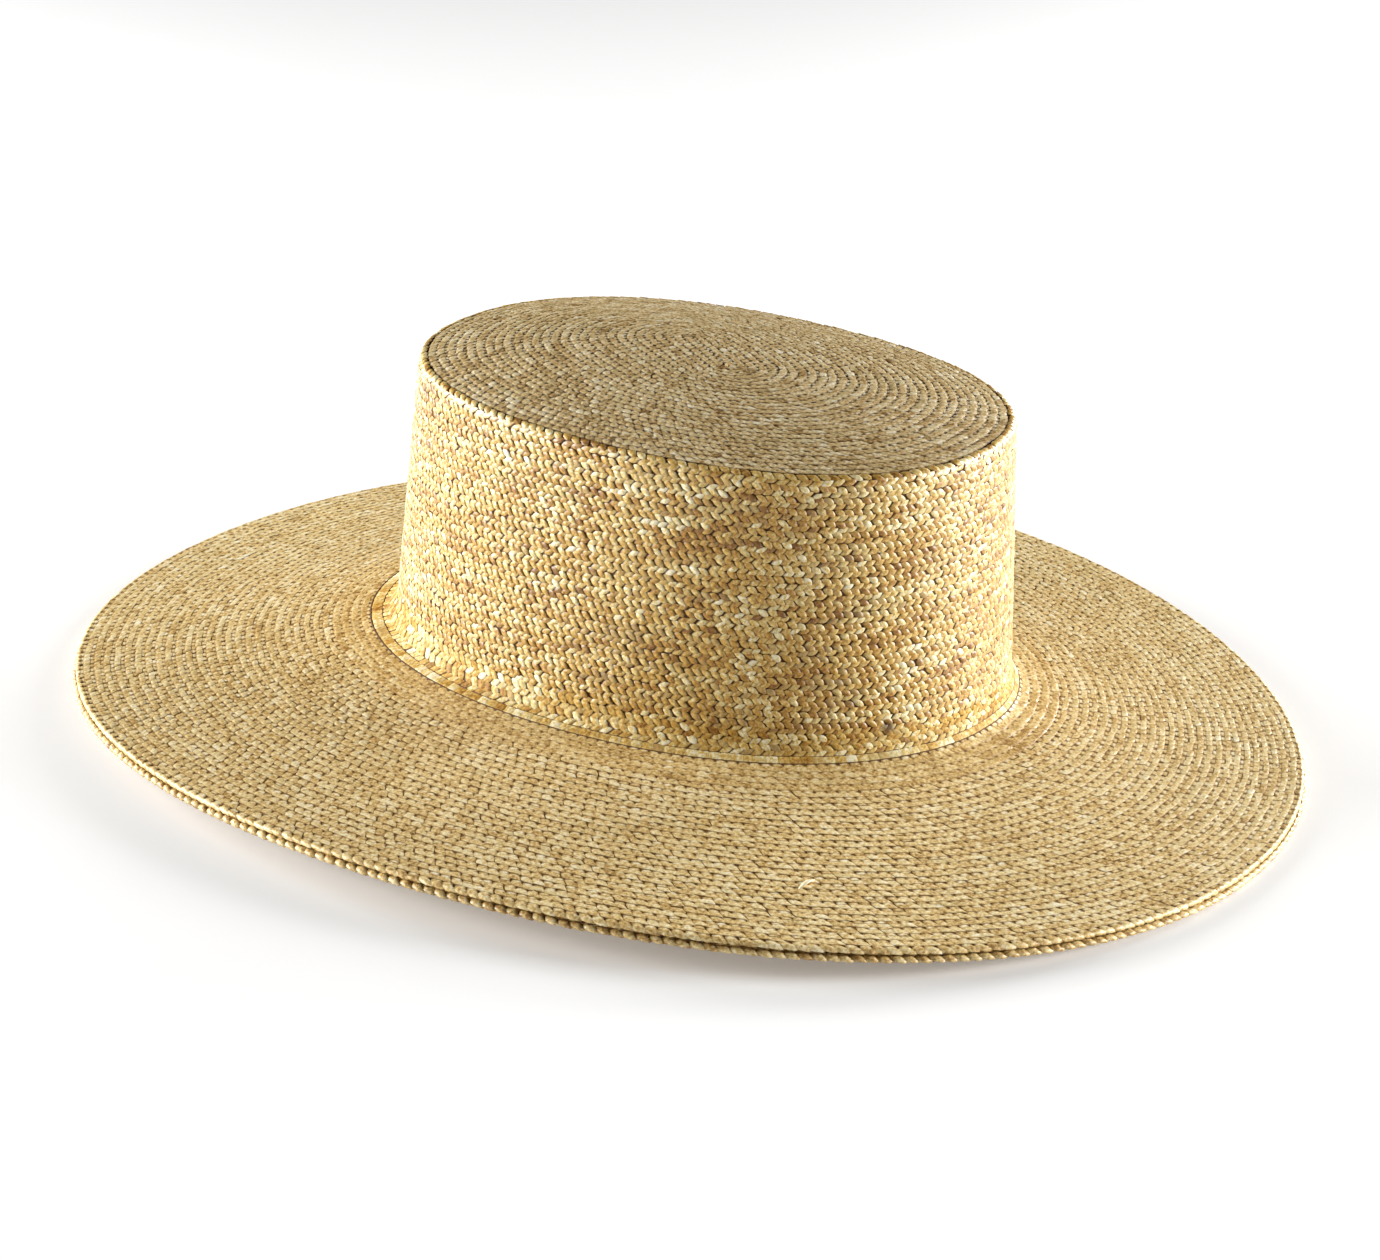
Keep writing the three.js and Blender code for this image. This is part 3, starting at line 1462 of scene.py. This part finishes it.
@dataclass
class Part:
    """A sub-assembly of the hat, whose pieces ride on the hat's one body."""

    form: HatForm
    straws: Straws
    finishes: dict[Finish, bpy.types.Material]
    slot: str = ""

    def finish(self, cover: Cover, node: str, *finishes: Finish) -> bpy.types.Object:
        """Makes a piece from its cover and dresses it.

        Args:
            cover: The joined faces.
            node: The plain solid that the piece stands for.
            finishes: The finishes, in the order of their numbers.

        Returns:
            The finished piece.
        """
        made = cover.build([self.finishes[f] for f in finishes])
        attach(made, BODY)
        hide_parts(node)
        return made

    def build(self) -> list[bpy.types.Object]:
        """Makes the sub-assembly's pieces."""
        raise NotImplementedError


@dataclass
class Tip(Part):
    """The low domed top: rows sewn round a short straight middle row."""

    rows: int = 28
    facet: float = 3.05
    layer: InnerLayer = InnerLayer(0.32, 1.2)
    layer_start: float = 0.1
    layer_short: float = 0.3
    slot: str = "straw_tip"

    def build(self) -> list[bpy.types.Object]:
        """Makes the tip's upper and under side.

        Returns:
            The two pieces.
        """
        form = self.form
        skin = Skin(form.tip_face)
        band = Band(0.0, form.tip_reach, self.rows, self.facet)
        top = Cover("tip_plait")
        end = band.end - self.layer_short
        self.layer.add_ring(skin, self.layer_start, end, stations=12, cover=top)
        band.lay(skin, TIP_PLAIT, top, self.straws)
        under = Cover("tip_plait_inside")
        band.lay(Skin(form.tip_face, form.straw, -1.0), BACK_PLAIT, under, self.straws)
        return [
            self.finish(top, "crown_tip", Finish.TIP, Finish.LAYER),
            self.finish(under, "crown_tip", Finish.INSIDE),
        ]


@dataclass
class Wall(Part):
    """The leaning side of the crown, with the corner row above and the flared foot below."""

    rows: int = 22
    facet: float = 2.85
    corner_facet: float = 3.3
    corner_inside_facet: float = 3.0
    corner_lap: float = 0.1
    corner_start: float = 0.15
    foot_shares: tuple[float, float, float] = (0.36, 0.71, 0.96)
    foot_facets: tuple[float, float, float] = (3.0, 3.2, 3.5)
    foot_inside_facet: float = 3.2
    foot_inside_rows: int = 3
    seam_gap: float = 0.3
    seam_lap: float = 0.05
    layer: InnerLayer = InnerLayer()
    foot_layer: InnerLayer = InnerLayer(0.32, 1.2)
    upper_shade_line: InnerLayer = InnerLayer(0.06, 0.5)
    lower_shade_line: InnerLayer = InnerLayer(0.02, 0.5)
    slot: str = "straw_wall"

    def build(self) -> list[bpy.types.Object]:
        """Makes the wall's two faces, the corner and the foot."""
        return [*self.build_wall(), *self.build_corner(), *self.build_foot()]

    def build_wall(self) -> list[bpy.types.Object]:
        """Makes the rows of the wall.

        Returns:
            Its outer and its inner face.
        """
        form = self.form
        end = form.tip.height - form.crease.height - form.foot_rise
        band = Band(form.shoulder_radius, end, self.rows, self.facet)
        outer = Cover("wall_plait")
        self.layer.add_ring(Skin(form.wall), band.start, band.end, stations=6, cover=outer)
        band.lay(Skin(form.wall), WALL_PLAIT, outer, self.straws)
        inner = Cover("wall_plait_inside")
        band.lay(Skin(form.wall, form.straw, -1.0), BACK_PLAIT, inner, self.straws)
        return [
            self.finish(outer, "crown_wall", Finish.WALL, Finish.LAYER),
            self.finish(inner, "crown_wall", Finish.INSIDE),
        ]

    def build_corner(self) -> list[bpy.types.Object]:
        """Makes the row that turns the corner between tip and wall.

        Returns:
            The one piece.
        """
        form = self.form
        run = form.shoulder_radius * math.pi / 2
        cover = Cover("corner_plait")
        skin = Skin(form.shoulder)
        self.layer.add_ring(skin, self.corner_lap, run, stations=5, cover=cover)
        Band(self.corner_start, run, 1, self.corner_facet).lay(
            skin, WALL_PLAIT, cover, self.straws
        )
        inside = Skin(form.shoulder, form.straw, -1.0)
        Band(0.0, run, 1, self.corner_inside_facet).lay(
            inside, BACK_PLAIT, cover, self.straws, INSIDE_SLOT
        )
        return [
            self.finish(cover, "crown_shoulder", Finish.WALL, Finish.LAYER, Finish.INSIDE)
        ]

    def build_foot(self) -> list[bpy.types.Object]:
        """Makes the flared rows between wall and brim, down to the seam, whose two dark lines are
        painted shade.

        Returns:
            The one piece.
        """
        form = self.form
        cover = Cover("foot_plait")
        skin = Skin(form.flare)
        run = form.foot_run
        first, flared, seam = (share * run for share in self.foot_shares)
        self.layer.add_ring(skin, 0.0, first, stations=6, cover=cover)
        self.foot_layer.add_ring(skin, first, run, stations=12, cover=cover)
        rows = (
            (0.0, first, FOOT_PLAIT),
            (first, flared, FOOT_PLAIT),
            (flared + self.seam_gap, seam, SEAM_PLAIT),
        )
        for (start, end, plait), facet in zip(rows, self.foot_facets):
            Band(start, end, 1, facet).lay(skin, plait, cover, self.straws)
        # The two thin layers just under the face show as the seam's dark lines, coloured in
        # painted shade.
        lap = self.seam_lap
        line_end = flared + self.seam_gap + lap
        self.upper_shade_line.add_ring(skin, flared + lap, line_end, stations=2, cover=cover)
        self.lower_shade_line.add_ring(skin, seam + lap, run, stations=2, cover=cover)
        inside = Skin(form.foot, form.straw, -1.0)
        Band(0.0, run, self.foot_inside_rows, self.foot_inside_facet).lay(
            inside, BACK_PLAIT, cover, self.straws, INSIDE_SLOT
        )
        return [self.finish(cover, "crown_foot", Finish.FOOT, Finish.LAYER, Finish.INSIDE)]


@dataclass
class Brim(Part):
    """The wide brim: rows parallel to its rim, and a second row under the last one."""

    rows: int = 30
    smooth_rows: int = 4
    inner_rows: int = 15
    facet: float = 3.45
    edge_facet: float = 3.8
    rolled: float = 1.3
    layer: InnerLayer = InnerLayer(0.24, 1.2)
    rim_layer: InnerLayer = InnerLayer(0.55, 1.0)
    rim_short: float = 0.8
    edge_layer: InnerLayer = InnerLayer(0.6, 1.2)
    edge_lap: float = 0.3
    edge_short: float = 0.1
    teeth_lap: float = 0.7
    slot: str = "straw_brim"

    def build(self) -> list[bpy.types.Object]:
        """Makes the brim's upper rows, its underside and the second edge row."""
        return [*self.build_rows(), *self.build_under(), *self.build_edge()]

    def build_rows(self) -> list[bpy.types.Object]:
        """Makes the rows of the upper face, in a part near the crown and a part far from it.

        Returns:
            The two pieces.
        """
        form = self.form
        skin = Skin(form.flare)
        start = form.foot_run
        end = start + form.brim_width - form.foot_reach
        pitch = (end + 0.5 * self.rolled - start) / self.rows
        smooth = start + self.smooth_rows * pitch
        middle = start + self.inner_rows * pitch
        last = start + (self.rows - 1) * pitch
        near = Cover("brim_plait_near")
        self.layer.add_ring(skin, start, smooth, stations=8, cover=near)
        self.layer.add_ring(skin, smooth, middle, stations=5, cover=near)
        Band(start, smooth, self.smooth_rows, self.facet).lay(
            skin, SMOOTH_PLAIT, near, self.straws
        )
        Band(smooth, middle, self.inner_rows - self.smooth_rows, self.facet).lay(
            skin, FLAT_PLAIT, near, self.straws
        )
        far = Cover("brim_plait_far")
        self.layer.add_ring(skin, middle, last, stations=6, cover=far)
        self.rim_layer.add_ring(skin, last, end - self.rim_short, stations=3, cover=far)
        Band(middle, last, self.rows - self.inner_rows - 1, self.facet).lay(
            skin, FLAT_PLAIT, far, self.straws
        )
        Band(last, end + self.rolled, 1, self.edge_facet).lay(
            skin, EDGE_PLAIT, far, self.straws
        )
        LooseEnd().add(far)
        return [
            self.finish(near, "brim", Finish.BRIM, Finish.BRIM_LAYER),
            self.finish(far, "brim", Finish.BRIM, Finish.BRIM_LAYER),
        ]

    def build_under(self) -> list[bpy.types.Object]:
        """Makes the rows of the underside.

        Returns:
            The one piece.
        """
        form = self.form
        cover = Cover("brim_plait_under")
        Band(form.foot_reach, form.brim_width, self.rows, self.facet).lay(
            Skin(form.brim, form.straw, -1.0), BACK_PLAIT, cover, self.straws
        )
        return [self.finish(cover, "brim", Finish.INSIDE)]

    def build_edge(self) -> list[bpy.types.Object]:
        """Makes the second row of plait under the rim.

        Returns:
            The one piece.
        """
        form = self.form
        cover = Cover("edge_plait")
        side = Skin(form.edge_side)
        end = form.edge_run - self.edge_short
        self.edge_layer.add_ring(side, -self.edge_lap, end, stations=4, cover=cover)
        Band(-self.teeth_lap, form.edge_run, 1, self.edge_facet).lay(
            side, TEETH_PLAIT, cover, self.straws
        )
        sole = Skin(form.edge_sole, 0.0, -1.0)
        Band(0.0, form.edge_width, 1, self.edge_facet).lay(
            sole, SOLE_PLAIT, cover, self.straws
        )
        return [self.finish(cover, "brim_edge_row", Finish.BRIM, Finish.BRIM_LAYER)]


# Studio


@dataclass(frozen=True)
class Softbox:
    """A square soft light, placed by its bearing from the camera's line and its height.

    Angles are in degrees, distance and size in metres, and power is in watts.
    """

    name: str
    bearing: float
    elevation: float
    distance: float
    size: float
    power: float


@dataclass
class Studio:
    """Pale floor, soft lights and the photo's camera, in metres, degrees and lens millimetres."""

    target: tuple[float, float, float] = (0.0025, -0.0037, 0.0243)
    azimuth: float = -59.40
    elevation: float = 22.933
    roll: float = 3.209
    distance: float = 1.14105
    lens: float = 91.304
    sensor: float = 36.0
    shift: tuple[float, float] = (-0.00749, 0.00123)
    floor_size: float = 12.0
    floor_squares: int = 4
    floor_colour: tuple[float, float, float, float] = (0.86, 0.86, 0.855, 1.0)
    floor_roughness: float = 0.9
    floor_glow: float = 0.18
    sky: float = 0.02
    lights: tuple[Softbox, ...] = (
        Softbox("left_light", -82.0, 13.0, 1.5, 0.6, 31.0),
        Softbox("back_left_light", -112.0, 13.0, 1.5, 0.6, 21.0),
        Softbox("right_light", 84.0, 13.0, 1.5, 0.6, 34.0),
        Softbox("back_right_light", 130.0, 13.0, 1.5, 0.6, 20.0),
    )

    def direction(self, bearing: float, elevation: float) -> Vector:
        """Direction from the hat.

        Args:
            bearing: Degrees round the hat from the camera's line.
            elevation: Degrees above the floor.

        Returns:
            The direction, one long.
        """
        turn = math.radians(self.azimuth + bearing)
        rise = math.radians(elevation)
        level = math.cos(rise)
        return Vector((math.sin(turn) * level, -math.cos(turn) * level, math.sin(rise)))

    def build(self) -> None:
        """Makes the camera, lights, floor and sky."""
        scene = bpy.context.scene
        scene.view_settings.view_transform = "Standard"
        self.build_camera(scene)
        for light in self.lights:
            self.build_light(light)
        self.build_floor()
        world = bpy.data.worlds.new("studio")
        world.use_nodes = True
        sky = world.node_tree.nodes["Background"]
        sky.inputs["Color"].default_value = WHITE
        sky.inputs["Strength"].default_value = self.sky
        scene.world = world

    def build_camera(self, scene: bpy.types.Scene) -> None:
        """Puts the camera where the photo was taken from.

        Args:
            scene: The scene that it looks at.
        """
        data = bpy.data.cameras.new("photo_camera")
        data.sensor_width = self.sensor
        data.lens = self.lens
        data.shift_x, data.shift_y = self.shift
        camera = bpy.data.objects.new("photo_camera", data)
        back = self.direction(0.0, self.elevation)
        camera.location = Vector(self.target) + back * self.distance
        camera.rotation_mode = "QUATERNION"
        turned = Quaternion((0, 0, 1), math.radians(self.roll))
        camera.rotation_quaternion = (-back).to_track_quat("-Z", "Y") @ turned
        scene.collection.objects.link(camera)
        scene.camera = camera

    def build_light(self, light: Softbox) -> None:
        """Hangs one soft light, turned to the hat.

        Args:
            light: The light.
        """
        data = bpy.data.lights.new(light.name, "AREA")
        data.shape = "SQUARE"
        data.size = light.size
        data.energy = light.power
        lamp = bpy.data.objects.new(light.name, data)
        way = self.direction(light.bearing, light.elevation)
        lamp.location = Vector(self.target) + way * light.distance
        lamp.rotation_mode = "QUATERNION"
        lamp.rotation_quaternion = (-way).to_track_quat("-Z", "Y")
        bpy.context.scene.collection.objects.link(lamp)

    def build_floor(self) -> None:
        """Lays the plain pale floor."""
        sheet = bmesh.new()
        squares = self.floor_squares
        bmesh.ops.create_grid(
            sheet, x_segments=squares, y_segments=squares, size=self.floor_size / 2
        )
        mesh = bpy.data.meshes.new("floor")
        sheet.to_mesh(mesh)
        sheet.free()
        paint = bpy.data.materials.new("floor_paint")
        paint.use_nodes = True
        shader = paint.node_tree.nodes["Principled BSDF"]
        shader.inputs["Base Color"].default_value = self.floor_colour
        shader.inputs["Roughness"].default_value = self.floor_roughness
        shader.inputs["Emission Color"].default_value = WHITE
        shader.inputs["Emission Strength"].default_value = self.floor_glow
        mesh.materials.append(paint)
        floor = bpy.data.objects.new("floor", mesh)
        bpy.context.scene.collection.objects.link(floor)


def main() -> None:
    """Builds the hat piece by piece, then the studio."""
    logging.basicConfig(level=logging.INFO, format="%(message)s")
    form = HatForm()
    finishes = {finish: finish.value.material() for finish in Finish}
    parts = (
        Tip(form, Straws(seed=11, spread=0.17), finishes),
        Wall(form, Straws(seed=23, spread=0.2), finishes),
        Brim(form, Straws(seed=37, spread=0.13), finishes),
    )
    for part in parts:
        for piece in part.build():
            LOG.info("%s: %d faces", piece.name, len(piece.data.polygons))
    Studio().build()


if __name__ == "__main__":
    main()
